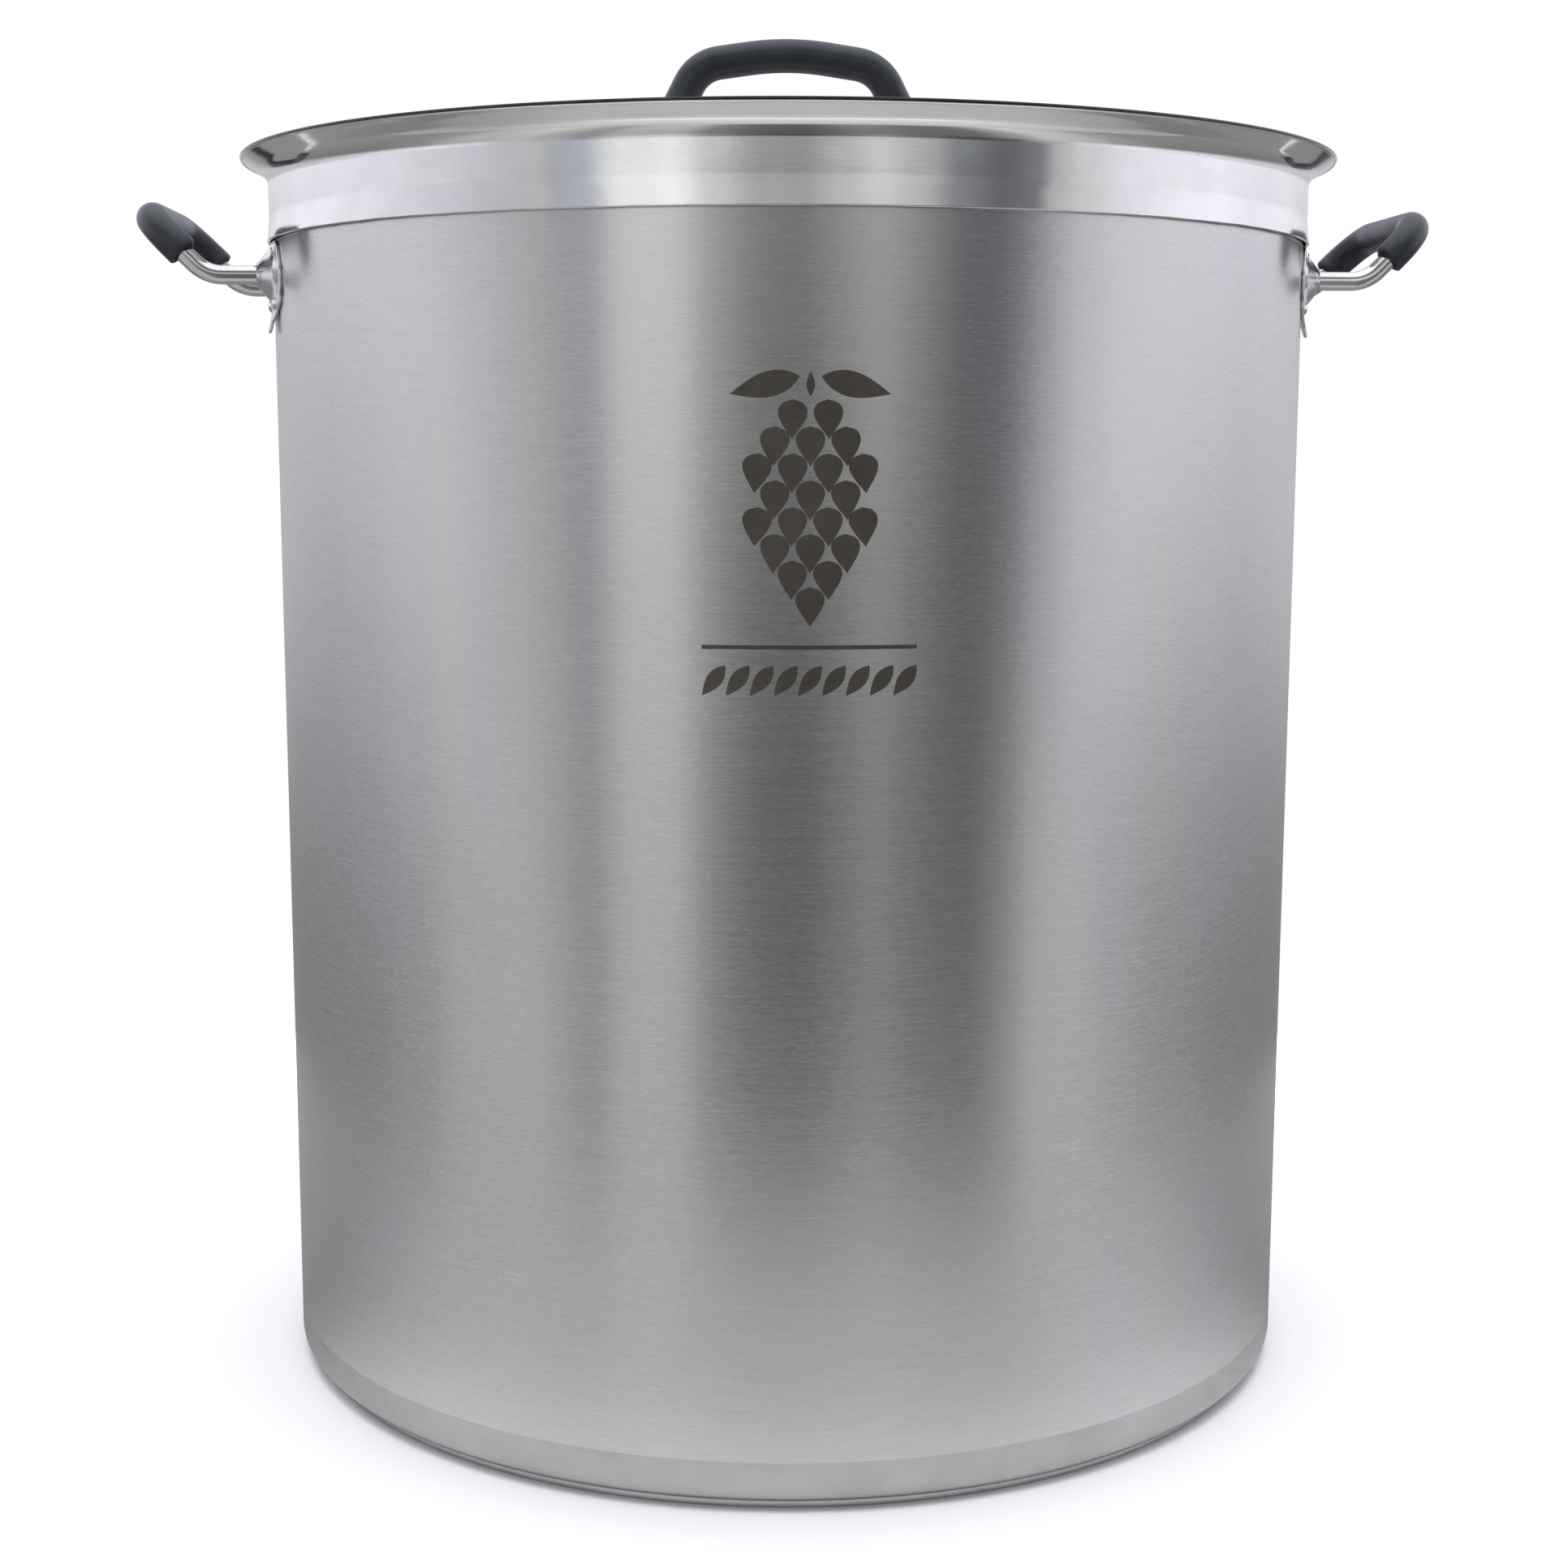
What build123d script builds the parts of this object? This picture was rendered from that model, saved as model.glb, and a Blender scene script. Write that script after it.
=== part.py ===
from build123d import *
import math
import os

# A tall stainless brew kettle: a deep drawn body on a clad base, a polished rim collar that
# flares into a rolled lip, two bent-rod side handles with rubber grips, and a lift-off lid with
# a rod handle of its own.
#
# Frame: the origin is the centre of the base on the surface it stands on. +Z is up, the side
# handles stand out along +X and -X, and the kettle's front faces -Y. Lengths are millimetres.

# Body
body_radius = 225.0
body_wall = 1.2
body_corner_radius = 6.5
body_top = 510.0
hole_allowance = 0.05           # radial room that a shank or a rod has in its hole

# Clad base: an aluminium disc closed in by a pressed steel cap
base_height = 3.0
base_radius = 219.5
base_cap_wall = 0.8
base_edge_radius = 1.0
core_side_gap = 0.1             # between the disc and the cap's wall, and the kettle's floor
core_floor_gap = 0.05           # between the disc and the cap's floor

# Rim collar and its flared, rolled lip
collar_bottom = 489.8
collar_wall = 1.2
collar_stand_off = 0.2
collar_skirt_kick = 1.0         # how far the collar's lower edge springs away from the body
collar_skirt_height = 9.0
flare_radius = 8.0
flare_angle = 60.0
lip_height = 526.0
lip_bead_radius = 1.0
lip_run_out = 7.85              # straight run between the flare and the rolled lip
skirt_bend_radius = 40.0        # where the skirt meets the upright band

# Lid
lid_wall = 1.0
lid_crown_height = 534.3        # underside of the lid at its centre
lid_crown_edge_radius = 214.0
lid_crown_edge_height = 510.6
lid_groove_radius = 222.0
lid_groove_height = 508.4
lid_step_height = 520.6
lid_flange_radius = 233.5
lid_flange_height = 524.45
lid_bead_radius = 0.7
lid_groove_lead_in = 5.0        # how far short of the groove the dome ends
lid_groove_lead_drop = 1.6      # how far the lead-in falls to the groove
lid_groove_bend_radius = 1.2
lid_flange_bend_radius = 3.0
lid_crown_share = 0.999         # keeps the dome's arc just short of its tangent points

# Handles
rod_radius = 4.0
grip_bore_radius = rod_radius + hole_allowance
grip_end_round = 2.3
grip_end_run = 2.8              # straight length that a side grip has before its bend

side_leg_offset = 46.0          # from the kettle's X axis to the middle of each leg
side_leg_height = 475.8
side_bar_reach = 273.5          # from the kettle's centre to the middle of the crossbar
side_tilt = 45.0
side_rise = 24.5
side_bend_radius = 17.0
side_corner_radius = 19.0
side_grip_radius = 6.9
side_boss_reach = 227.3
side_weld_gap = 1.8             # from the body's wall to the end of the rod, inside its lug

lid_foot_offset = 58.3          # where the middle of a leg meets the lid
lid_foot_height = 536.4         # where the rod ends, inside its lug
lid_leg_angle = 63.0
lid_shoulder_height = 570.2
lid_bar_crown_height = 576.1
lid_shoulder_radius = 18.0
lid_bar_crown_radius = 120.0
lid_grip_start_height = 547.0
lid_grip_radius = 7.3
lid_boss_height = 542.0

# Lugs, pressed from sheet: a shield with a conical boss and a tongue that turns outwards
lug_wall = 1.2
lug_seat_gap = 0.1
lug_half_width = 24.0
lug_head = 13.4
lug_shoulder_half_width = 16.0
lug_cheek_top = 2.0
lug_cheek_bottom = -11.5
tongue_root_half_width = 7.0
tongue_root = -20.0
tongue_tip_half_width = 3.5
tongue_tip = -24.3
tongue_bend = -16.0
tongue_angle = 14.0
lug_corner_radius = 8.0
tongue_tip_corner_radius = 2.0
corner_pick = 1.0               # height margin for telling the tongue's corners from the others
boss_base_radius = 13.0
boss_tip_radius = 5.6
boss_wall = 1.3
boss_sink = 4.0                 # how far the cone is carried below the seat before it is cut off

# Rivets, four to a lug
rivet_shank_radius = 1.6
rivet_head_radius = 2.9
rivet_head_height = 1.5
rivet_head_room = 0.2           # flat land left round each head
rivet_tail_radius = 3.0
rivet_tail_height = 1.0
rivet_side_offset = 13.0
rivet_rise = 9.5
rivet_drop = 12.3
side_rivet_grip = 2.0           # from the lug's seat to the rivet's tail, through the body wall
lid_rivet_grip = 1.45
rivet_hole_length = 8.0         # long enough to go through any sheet under a lug

cutter = 60.0                   # size of the blocks used to cut things away


def turned(outline):
    """A solid of revolution about +Z from a closed outline drawn as (radius, height)."""
    return revolve(Plane.XZ * make_face(outline), Axis.Z)


def turned_sheet(path, thickness):
    """A spun sheet: the path is its outer or lower face, drawn as (radius, height)."""
    return turned(offset(path, thickness, side=Side.LEFT, closed=True).wires()[0])


def turned_bead(radius, height, bead_radius):
    """A rolled edge, round in section."""
    return revolve(Plane.XZ * Pos(radius, height) * Circle(bead_radius), Axis.Z)


def rod_along(path, radius):
    """A round rod swept along a path."""
    return sweep(Plane(path @ 0, z_dir=path % 0) * Circle(radius), path=path)


def sleeve_along(path, radius):
    """A grip on the rod: a tube with soft ends."""
    outer = rod_along(path, radius)
    ends = outer.faces().sort_by(lambda face: (face.center() - path @ 0).length)[0:1]
    ends += outer.faces().sort_by(lambda face: (face.center() - path @ 1).length)[0:1]
    rims = [edge for face in ends for edge in face.edges()]
    return fillet(rims, grip_end_round) - rod_along(path, grip_bore_radius)


def rivet_places():
    """The four rivets of a lug, in its own plane: X across, Y towards its head."""
    return [(x, y) for x in (-rivet_side_offset, rivet_side_offset) for y in (rivet_rise, -rivet_drop)]


def rivet(grip):
    """One rivet along +Z, with the lug's seat at height 0 and the tail below."""
    top = lug_wall + rivet_head_height
    crown = (rivet_head_radius**2 + rivet_head_height**2) / (2 * rivet_head_height)
    dome = RadiusArc((rivet_head_radius, lug_wall), (0, top), -crown)
    sides = Polyline(
        (0, top),
        (0, -grip - rivet_tail_height),
        (rivet_tail_radius, -grip - rivet_tail_height),
        (rivet_tail_radius, -grip),
        (rivet_shank_radius, -grip),
        (rivet_shank_radius, lug_wall),
        (rivet_head_radius, lug_wall),
    )
    return turned(dome + sides)


def lug(frame, rod_axis, boss_tip):
    """A lug on the seat plane `frame`, with a boss along the rod, which ends at `boss_tip`."""
    outline = Polyline(
        (-lug_shoulder_half_width, lug_head),
        (lug_shoulder_half_width, lug_head),
        (lug_half_width, lug_cheek_top),
        (lug_half_width, lug_cheek_bottom),
        (tongue_root_half_width, tongue_root),
        (tongue_tip_half_width, tongue_tip),
        (-tongue_tip_half_width, tongue_tip),
        (-tongue_root_half_width, tongue_root),
        (-lug_half_width, lug_cheek_bottom),
        (-lug_half_width, lug_cheek_top),
        close=True,
    )
    shield = make_face(outline)
    broad = [vertex for vertex in shield.vertices() if vertex.Y > tongue_root + corner_pick]
    shield = fillet(broad, lug_corner_radius)
    narrow = [vertex for vertex in shield.vertices() if vertex.Y < tongue_tip + corner_pick]
    shield = fillet(narrow, tongue_tip_corner_radius)
    plate = extrude(shield, lug_wall)
    bend = Plane((0, tongue_bend, 0), x_dir=(1, 0, 0), z_dir=(0, 1, 0))
    tongue = split(plate, bisect_by=bend, keep=Keep.BOTTOM)
    plate = split(plate, bisect_by=bend, keep=Keep.TOP)
    plate += tongue.rotate(Axis((0, tongue_bend, 0), (1, 0, 0)), -tongue_angle)

    foot = Plane(frame.origin, z_dir=rod_axis)
    reach = (boss_tip - frame.origin).dot(foot.z_dir)
    slope = (boss_base_radius - boss_tip_radius) / reach
    lift = Align.CENTER, Align.CENTER, Align.MIN
    boss = foot * Pos(0, 0, -boss_sink) * Cone(
        boss_base_radius + slope * boss_sink, boss_tip_radius, reach + boss_sink, align=lift
    )
    hollow = foot * Pos(0, 0, -boss_sink) * Cone(
        boss_base_radius + slope * boss_sink - boss_wall,
        boss_tip_radius - boss_wall + slope * boss_wall,
        reach + boss_sink - boss_wall,
        align=lift,
    )
    bore = foot * Cylinder(rod_radius + hole_allowance, cutter)
    below = frame * Pos(0, 0, -cutter / 2) * Box(cutter, cutter, cutter)
    body = frame * plate + boss - hollow - bore - below
    for x, y in rivet_places():
        body -= frame * Pos(x, y, 0) * Cylinder(rivet_shank_radius + hole_allowance, cutter / 2)
        land = Cylinder(rivet_head_radius + rivet_head_room, cutter / 2, align=lift)
        body -= frame * Pos(x, y, lug_wall) * land
    return body


def rivets(frame, grip):
    """A lug's four rivets."""
    return [frame * Pos(x, y, 0) * rivet(grip) for x, y in rivet_places()]


def rivet_holes(frame):
    """The holes that a lug's rivets go through in the sheet under it."""
    hole = Cylinder(rivet_shank_radius + hole_allowance, rivet_hole_length)
    return [frame * Pos(x, y, 0) * hole for x, y in rivet_places()]


def side_lug_frame(side, end):
    """The seat plane of a side lug: side is +1 or -1 along X, end is +1 or -1 along Y."""
    azimuth = math.asin(side_leg_offset / body_radius)
    normal = Vector(side * math.cos(azimuth), end * math.sin(azimuth), 0)
    origin = normal * (body_radius + lug_seat_gap) + Vector(0, 0, side_leg_height)
    return Plane(origin, x_dir=Vector(0, 0, 1).cross(normal), z_dir=normal)


def side_path(side):
    """The middle line of a side handle: in along one leg, round the crossbar and back."""
    wall_x = body_radius * math.cos(math.asin((side_leg_offset + rod_radius) / body_radius))
    leg_end = wall_x + side_weld_gap
    bend_x = side_bar_reach - side_rise / math.tan(math.radians(side_tilt))
    bar_z = side_leg_height + side_rise
    points = []
    for end in (-1, 1):
        leg = [
            (side * leg_end, end * side_leg_offset, side_leg_height),
            (side * bend_x, end * side_leg_offset, side_leg_height),
            (side * side_bar_reach, end * side_leg_offset, bar_z),
        ]
        points += leg if end < 0 else reversed(leg)
    radii = [side_bend_radius, side_corner_radius, side_corner_radius, side_bend_radius]
    return FilletPolyline(*points, radius=radii)


def side_grip_path(side):
    """The part of the side handle's middle line that the grip covers: corner to corner."""
    tilt = math.radians(side_tilt)
    run = side_corner_radius + grip_end_run
    run_x = run * math.cos(tilt)
    run_z = run * math.sin(tilt)
    bar_z = side_leg_height + side_rise
    points = []
    for end in (-1, 1):
        corner = [
            (side * (side_bar_reach - run_x), end * side_leg_offset, bar_z - run_z),
            (side * side_bar_reach, end * side_leg_offset, bar_z),
        ]
        points += corner if end < 0 else reversed(corner)
    return FilletPolyline(*points, radius=[side_corner_radius, side_corner_radius])


def lid_crown_radius():
    """The radius of the lid's shallow dome, level at its centre."""
    fall = lid_crown_height - lid_crown_edge_height
    slope = math.atan2(fall, lid_crown_edge_radius / 2)
    return lid_crown_edge_radius / 2 / math.tan(slope / 2)


def lid_lug_frame(side):
    """The seat plane of a lid lug, on the dome."""
    crown_radius = lid_crown_radius()
    lean = math.asin(lid_foot_offset / crown_radius)
    fall = crown_radius * (1 - math.cos(lean))
    normal = Vector(side * math.sin(lean), 0, math.cos(lean))
    height = lid_crown_height - fall + (lid_wall + lug_seat_gap) / math.cos(lean)
    origin = Vector(side * lid_foot_offset, 0, height)
    return Plane(origin, x_dir=(0, side, 0), z_dir=normal)


def lid_leg_x(height):
    """How far out the middle of a leg of the lid handle is at a height."""
    climb = height - lid_lug_frame(1).origin.Z
    return lid_foot_offset - climb / math.tan(math.radians(lid_leg_angle))


def lid_handle_path(start_height):
    """The middle line of the lid handle, from a height on one leg to the same on the other."""
    points = [
        (-lid_leg_x(start_height), 0, start_height),
        (-lid_leg_x(lid_shoulder_height), 0, lid_shoulder_height),
        (0, 0, lid_bar_crown_height),
        (lid_leg_x(lid_shoulder_height), 0, lid_shoulder_height),
        (lid_leg_x(start_height), 0, start_height),
    ]
    radii = [lid_shoulder_radius, lid_bar_crown_radius, lid_shoulder_radius]
    return FilletPolyline(*points, radius=radii)


def kettle_body():
    """The drawn body: floor and wall in one sheet, with the rivet holes."""
    path = FilletPolyline(
        (0, base_height),
        (body_radius, base_height),
        (body_radius, body_top),
        radius=body_corner_radius,
    )
    shell = turned_sheet(path, body_wall)
    for side in (-1, 1):
        for end in (-1, 1):
            for hole in rivet_holes(side_lug_frame(side, end)):
                shell -= hole
    return shell


def rim_collar():
    """A band round the top of the body that flares out into a rolled lip."""
    inner = body_radius + collar_stand_off
    sweep_angle = math.radians(flare_angle)
    bead_height = lip_height - lip_bead_radius
    flare_x = (flare_radius + collar_wall / 2) * (1 - math.cos(sweep_angle))
    flare_z = (flare_radius + collar_wall / 2) * math.sin(sweep_angle)
    run_x = lip_run_out * math.sin(sweep_angle)
    run_z = lip_run_out * math.cos(sweep_angle)
    middle = inner + collar_wall / 2
    start = bead_height - run_z - flare_z
    corner = start + (flare_radius + collar_wall / 2) * math.tan(sweep_angle / 2)
    bead_x = middle + flare_x + run_x
    path = FilletPolyline(
        (middle + collar_skirt_kick, collar_bottom),
        (middle, collar_bottom + collar_skirt_height),
        (middle, corner),
        (bead_x, bead_height),
        radius=[skirt_bend_radius, flare_radius + collar_wall / 2],
    )
    band = trace(path, collar_wall)
    return revolve(Plane.XZ * band, Axis.Z) + turned_bead(bead_x, bead_height, lip_bead_radius)


def base_core():
    """The aluminium disc that spreads the heat."""
    radius = base_radius - base_cap_wall - core_side_gap
    height = base_height - base_cap_wall - core_side_gap
    disc = Pos(0, 0, base_cap_wall + core_floor_gap + height / 2) * Cylinder(radius, height)
    return chamfer(disc.edges().group_by(Axis.Z)[0], base_edge_radius)


def base_cap():
    """The shallow pressed pan round the disc, which the kettle stands on."""
    path = FilletPolyline(
        (0, 0),
        (base_radius, 0),
        (base_radius, base_height - core_floor_gap),
        radius=base_edge_radius,
    )
    return turned_sheet(path, base_cap_wall)


def lid_pan():
    """The spun lid: a shallow dome, a groove that sits in the mouth and a flange on the flare."""
    path = FilletPolyline(
        (0, lid_crown_height),
        (lid_crown_edge_radius / 2, lid_crown_height),
        (lid_groove_radius - lid_groove_lead_in, lid_groove_height + lid_groove_lead_drop),
        (lid_groove_radius, lid_groove_height),
        (lid_groove_radius, lid_step_height),
        (lid_flange_radius, lid_flange_height),
        radius=[
            lid_crown_share * lid_crown_radius(),
            lid_groove_bend_radius,
            lid_groove_bend_radius,
            lid_flange_bend_radius,
        ],
    )
    bead_height = lid_flange_height + lid_bead_radius
    pan = turned_sheet(path, lid_wall) + turned_bead(lid_flange_radius, bead_height, lid_bead_radius)
    for side in (-1, 1):
        for hole in rivet_holes(lid_lug_frame(side)):
            pan -= hole
    return pan


def save(name, shape):
    """Writes one piece, or a group of like fasteners, under its own name."""
    export_step(Compound(children=shape) if isinstance(shape, list) else shape, f"parts/{name}.step")


def main():
    os.makedirs("parts", exist_ok=True)
    save("kettle_body", kettle_body())
    save("rim_collar", rim_collar())
    save("base_core", base_core())
    save("base_cap", base_cap())
    save("lid_pan", lid_pan())

    for side, hand in ((-1, "left"), (1, "right")):
        save(f"{hand}_handle_rod", rod_along(side_path(side), rod_radius))
        save(f"{hand}_handle_grip", sleeve_along(side_grip_path(side), side_grip_radius))
        for end, place in ((-1, "front"), (1, "rear")):
            frame = side_lug_frame(side, end)
            tip = Vector(side * side_boss_reach, end * side_leg_offset, side_leg_height)
            save(f"{hand}_{place}_lug", lug(frame, Vector(side, 0, 0), tip))
            save(f"{hand}_{place}_rivets", rivets(frame, side_rivet_grip))

        frame = lid_lug_frame(side)
        lean = math.radians(lid_leg_angle)
        leg_axis = Vector(-side * math.cos(lean), 0, math.sin(lean))
        tip = Vector(side * lid_leg_x(lid_boss_height), 0, lid_boss_height)
        save(f"lid_{hand}_lug", lug(frame, leg_axis, tip))
        save(f"lid_{hand}_rivets", rivets(frame, lid_rivet_grip))

    save("lid_handle_rod", rod_along(lid_handle_path(lid_foot_height), rod_radius))
    save("lid_handle_grip", sleeve_along(lid_handle_path(lid_grip_start_height), lid_grip_radius))


main()
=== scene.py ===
import math

import bmesh
import bpy
import numpy as np
from mathutils import Matrix, Vector


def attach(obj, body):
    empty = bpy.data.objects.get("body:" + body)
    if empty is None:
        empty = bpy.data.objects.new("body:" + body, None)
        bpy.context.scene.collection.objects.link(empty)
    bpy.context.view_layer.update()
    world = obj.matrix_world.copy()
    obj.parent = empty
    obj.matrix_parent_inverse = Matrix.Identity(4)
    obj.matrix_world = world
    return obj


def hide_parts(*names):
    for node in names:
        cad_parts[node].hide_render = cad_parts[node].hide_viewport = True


# Looks for a tall stainless brew kettle. Every piece but the etched mark stands for one node of the
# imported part. Pieces are built from the part's own driving dimensions, in millimetres, and put into
# the frame in metres.

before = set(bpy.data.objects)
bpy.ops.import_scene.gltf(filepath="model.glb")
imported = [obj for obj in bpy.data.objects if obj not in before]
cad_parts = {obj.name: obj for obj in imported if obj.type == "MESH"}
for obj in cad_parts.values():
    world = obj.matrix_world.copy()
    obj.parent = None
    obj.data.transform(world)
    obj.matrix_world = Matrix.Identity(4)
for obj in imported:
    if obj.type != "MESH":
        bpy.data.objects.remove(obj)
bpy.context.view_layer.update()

MM = 0.001
sharp_angle = 42.0              # edges that turn by more than this stay sharp

# Body, base and collar
body_radius = 225.0
body_wall = 1.2
body_corner_radius = 6.5
body_top = 510.0
base_height = 3.0
base_radius = 219.5
base_cap_wall = 0.8
base_edge_radius = 1.0
band_top = 20.4                 # the polished band round the foot of the body ends here
collar_bottom = 489.8
collar_wall = 1.2
collar_stand_off = 0.2
collar_skirt_kick = 1.0
collar_skirt_height = 9.0
skirt_bend_radius = 40.0
flare_radius = 8.0
flare_angle = 60.0
lip_height = 526.0
lip_bead_radius = 1.0
lip_run_out = 7.85

# Lid
lid_wall = 1.0
lid_crown_height = 534.3
lid_crown_edge_radius = 214.0
lid_crown_edge_height = 510.6
lid_groove_radius = 222.0
lid_groove_height = 508.4
lid_groove_lead_in = 5.0
lid_groove_lead_drop = 1.6
lid_groove_bend_radius = 1.2
lid_step_height = 520.6
lid_flange_radius = 233.5
lid_flange_height = 524.45
lid_flange_bend_radius = 3.0
lid_bead_radius = 0.7

# Handles
rod_radius = 4.0
side_leg_offset = 46.0
side_leg_height = 475.8
side_bar_reach = 273.5
side_tilt = 45.0
side_rise = 24.5
side_bend_radius = 17.0
side_corner_radius = 19.0
side_grip_radius = 6.9
side_boss_reach = 227.3
side_weld_gap = 1.8
grip_end_run = 2.8
lid_foot_offset = 58.3
lid_foot_height = 536.4
lid_leg_angle = 63.0
lid_shoulder_height = 570.2
lid_bar_crown_height = 576.1
lid_shoulder_radius = 18.0
lid_bar_crown_radius = 120.0
lid_grip_start_height = 547.0
lid_grip_radius = 7.3
lid_boss_height = 542.0

# Lugs and rivets
lug_wall = 1.2
lug_seat_gap = 0.1
lug_half_width = 24.0
lug_head = 13.4
lug_shoulder_half_width = 16.0
lug_cheek_top = 2.0
lug_cheek_bottom = -11.5
lug_corner_radius = 8.0
tongue_root_half_width = 7.0
tongue_root = -20.0
tongue_root_corner_radius = 1.5
tongue_tip_half_width = 3.5
tongue_tip = -24.3
tongue_tip_corner_radius = 2.0
tongue_bend = -16.0
tongue_angle = 14.0
boss_base_radius = 13.0
boss_tip_radius = 5.6
boss_wall = 1.3
rivet_head_radius = 2.9
rivet_head_height = 1.5
rivet_tail_radius = 3.0
rivet_tail_height = 1.0
rivet_shank_radius = 1.6
rivet_side_offset = 13.0
rivet_rise = 9.5
rivet_drop = 12.3
boss_fillet_reach = 3.2         # how far the fillet at a boss's foot runs up it and over the sheet
lug_edge_round = 0.35
lug_columns = 240
side_rivet_grip = 2.0
lid_rivet_grip = 1.45

# The camera, in metres and degrees, and the direction it stands in, measured from -Y towards -X
camera_distance = 1.093
camera_height = 0.411
camera_azimuth = 3.6
camera_pitch = 8.38
camera_lens = 55.0
camera_yaw = 0.068
camera_roll = 0.115


# ---------- paths and meshes

def unit(vector):
    return vector / np.linalg.norm(vector)


def rounded_path(corners, radii, arc_step=5.0, run_step=20.0, closed=False):
    """Points along straight runs joined by arcs; radii holds one radius for each corner that turns."""
    corners = [np.array(corner, float) for corner in corners]
    count = len(corners)
    turning = range(count) if closed else range(1, count - 1)
    pieces = {}
    for place, index in enumerate(turning):
        corner = corners[index]
        back = unit(corners[index - 1] - corner)
        ahead = unit(corners[(index + 1) % count] - corner)
        turn = math.pi - math.acos(max(-1.0, min(1.0, float(back @ ahead))))
        radius = radii[place]
        start = corner + back * radius * math.tan(turn / 2)
        centre = corner + unit(back + ahead) * radius / math.cos(turn / 2)
        spoke = unit(start - centre) * radius
        steps = max(2, math.ceil(math.degrees(turn) / arc_step))
        swings = [turn * k / steps for k in range(steps + 1)]
        pieces[index] = [centre + spoke * math.cos(s) - back * radius * math.sin(s) for s in swings]
    points = []
    for index in range(count):
        stretch = pieces.get(index, [corners[index]])
        if points:
            points += run_between(points[-1], stretch[0], run_step)
        points += stretch
    if closed:
        points += run_between(points[-1], points[0], run_step)
    return np.array(points)


def run_between(start, end, run_step):
    """Inner points of a straight run, close together at its ends so that its shading stays flat."""
    length = np.linalg.norm(end - start)
    if length < 1.0:
        return []
    edge = min(0.4, length / 4)
    steps = max(1, math.ceil((length - 2 * edge) / run_step))
    places = [edge + (length - 2 * edge) * k / steps for k in range(steps + 1)]
    return [start + (end - start) * place / length for place in places]


def left_normals(path):
    """Unit normals on the left of a flat path."""
    ahead = np.gradient(path, axis=0)
    ahead = ahead / np.linalg.norm(ahead, axis=1)[:, None]
    return np.stack([-ahead[:, 1], ahead[:, 0]], axis=1)


def sheet_outline(path, thickness):
    """The outline of a sheet that lies on the left of a path, with a rounded far edge."""
    normals = left_normals(path)
    inner = path + normals * thickness
    half = thickness / 2
    rim = edge_round(path[-1] - path[-2], path[-1] + normals[-1] * half, normals[-1], half)
    return list(path[:-1]) + rim + list(inner[:-1][::-1])


def edge_round(ahead, end, normal, half, bulge=0.55):
    """The rounded edge of a sheet, from the end of its middle line and half its thickness."""
    depth = unit(ahead) * half * bulge
    swings = np.radians(np.linspace(-90, 90, 9))
    return [end - depth + normal * half * math.sin(s) + depth * math.cos(s) for s in swings]


def skin(name, rings, loop):
    """A closed, smooth mesh through rings of points; a ring of one point is a pole."""
    starts = np.cumsum([0] + [len(ring) for ring in rings])
    faces = []
    for index in range(len(rings) if loop else len(rings) - 1):
        other = (index + 1) % len(rings)
        near, far = len(rings[index]), len(rings[other])
        around = np.arange(max(near, far))
        onward = np.roll(around, -1)
        here = [starts[index] + around % near, starts[index] + onward % near]
        there = [starts[other] + onward % far, starts[other] + around % far]
        if near == 1:
            here = here[:1]
        if far == 1:
            there = there[:1]
        if len(here) + len(there) > 2:
            faces += np.stack(here + there, axis=1).tolist()
    return mesh_object(name, np.concatenate(rings), faces)


def add_object(name, data):
    thing = bpy.data.objects.new(name, data)
    bpy.context.scene.collection.objects.link(thing)
    return thing


def mesh_object(name, points, faces):
    """A smooth mesh from points in millimetres, its faces turned outwards."""
    points = np.asarray(points, float) * MM
    first, second, third, last = (points[[face[k] for face in faces]] for k in (0, 1, 2, -1))
    if np.sum(first * (np.cross(second, third) + np.cross(third, last))) < 0:
        faces = [face[::-1] for face in faces]
    mesh = bpy.data.meshes.new(name)
    mesh.from_pydata(points.tolist(), [], faces)
    mesh.validate()
    mesh.shade_smooth()
    mesh.set_sharp_from_angle(angle=math.radians(sharp_angle))
    return add_object(name, mesh)


def read_faces(piece, what):
    """One vector for each face of a piece."""
    values = np.zeros(len(piece.data.polygons) * 3)
    piece.data.polygons.foreach_get(what, values)
    return values.reshape(-1, 3)


def give_second_look(piece, chosen):
    """Gives the chosen faces the piece's second material."""
    piece.data.polygons.foreach_set("material_index", chosen.astype(np.int32))


def lathe_rings(outline, turns=360, wander=None):
    """Rings about +Z from an outline of (radius, height); wander lifts their points a little."""
    swing = np.arange(turns) * 2 * math.pi / turns
    rings = []
    for radius, height in outline:
        if radius < 1e-6:
            rings.append(np.array([[0.0, 0.0, height]]))
            continue
        lift = wander(swing, height) if wander else 0.0
        heights = np.full(turns, height) + lift
        rings.append(np.stack([np.sin(swing) * radius, -np.cos(swing) * radius, heights], axis=1))
    return rings


class Route:
    """A path in space with a frame that doesn't twist, read by the length along it."""

    def __init__(self, points, across):
        self.points = points
        self.lengths = np.concatenate([[0], np.cumsum(np.linalg.norm(np.diff(points, axis=0), axis=1))])
        self.length = self.lengths[-1]
        ahead = np.gradient(points, self.lengths, axis=0)
        self.ahead = ahead / np.linalg.norm(ahead, axis=1)[:, None]
        sides = [np.array(across, float)]
        for way in self.ahead:
            sides.append(unit(sides[-1] - way * (sides[-1] @ way)))
        self.sides = np.array(sides[1:])

    def at(self, place):
        """The point at a length along the path, and its two directions across."""
        def read(values):
            return np.array([np.interp(place, self.lengths, values[:, k]) for k in range(3)])

        ahead = unit(read(self.ahead))
        side = read(self.sides)
        side = unit(side - ahead * (side @ ahead))
        return read(self.points), side, np.cross(ahead, side)


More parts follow.
